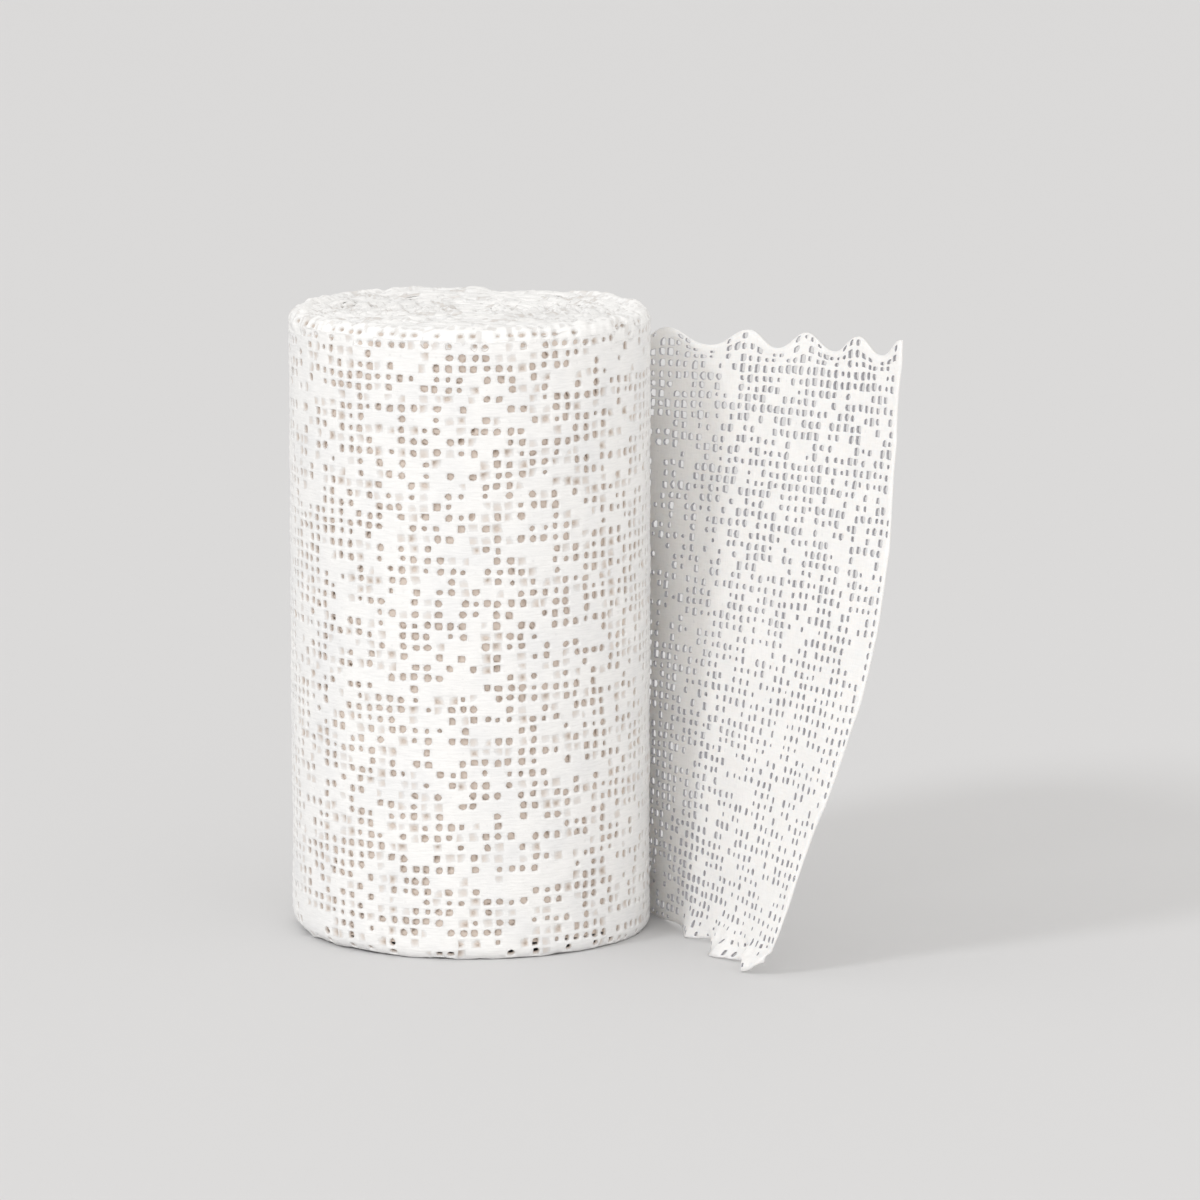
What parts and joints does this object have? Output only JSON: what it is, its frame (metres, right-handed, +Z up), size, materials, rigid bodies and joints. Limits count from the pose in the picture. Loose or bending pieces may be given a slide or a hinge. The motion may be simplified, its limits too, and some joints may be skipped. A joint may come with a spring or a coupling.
{
  "type": "plaster bandage roll",
  "caption": "Strip of plaster-coated gauze wound into an upright roll, its loose end curving forward at one side; wetted and wrapped to make a cast.",
  "frame": {"origin": "middle of the flat foot of the wound roll, on the surface it stands on", "axes": "+Z up along the axis of the roll; +X to the right, the side that the loose end lies on; -Y towards the front, the way the loose end runs"},
  "size_m": [0.0961, 0.0759, 0.1],
  "materials": {
    "plaster_gauze": "open-weave gauze under dry white plaster, matt, with rounded holes partly filled",
    "loose_gauze": "the same cloth as one layer, with the holes open right through"
  },
  "bodies": {
    "root": {"wound_roll": "plaster_gauze", "loose_end": "loose_gauze"}
  },
  "joints": []
}
